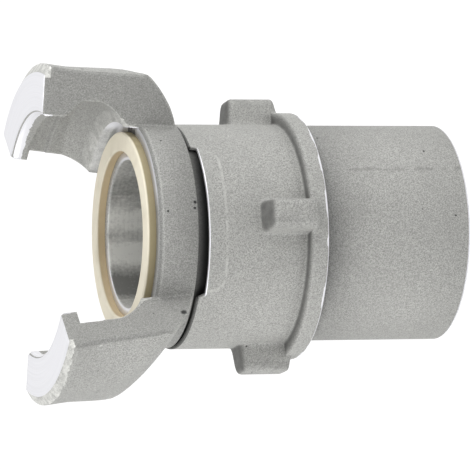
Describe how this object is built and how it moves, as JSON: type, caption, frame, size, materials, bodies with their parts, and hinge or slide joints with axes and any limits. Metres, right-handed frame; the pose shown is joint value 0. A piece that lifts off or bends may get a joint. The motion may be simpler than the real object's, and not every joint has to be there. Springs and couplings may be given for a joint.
{
  "type": "quarter turn fire hose coupling",
  "caption": "Claw coupling half for a fire hose: hooked claws, face seal, lock ring with spanner lugs, and a female threaded tail.",
  "frame": {"origin": "centre of the tail's end face, on the waterway's axis", "axes": "+Z along the waterway from the tail to the claw tips; the claws lie on +Y and -Y"},
  "size_m": [0.0942, 0.1144, 0.1415],
  "materials": {
    "body": "sand cast, machined on the working faces",
    "lock_ring": "sand cast, turned at the rear edge and the notches",
    "seal": "matt cream rubber",
    "retaining_wire": "drawn spring wire"
  },
  "bodies": {
    "coupling": {"body": "body", "seal": "seal", "retaining_wire": "retaining_wire"},
    "ring": {"lock_ring": "lock_ring"}
  },
  "joints": [
    {"name": "ring_turn", "type": "hinge", "parent": "coupling", "child": "ring", "pos_m": [-0.00033, -0.001, 0.073], "axis": [0, 0, 1], "range_deg": [0, 90]}
  ]
}
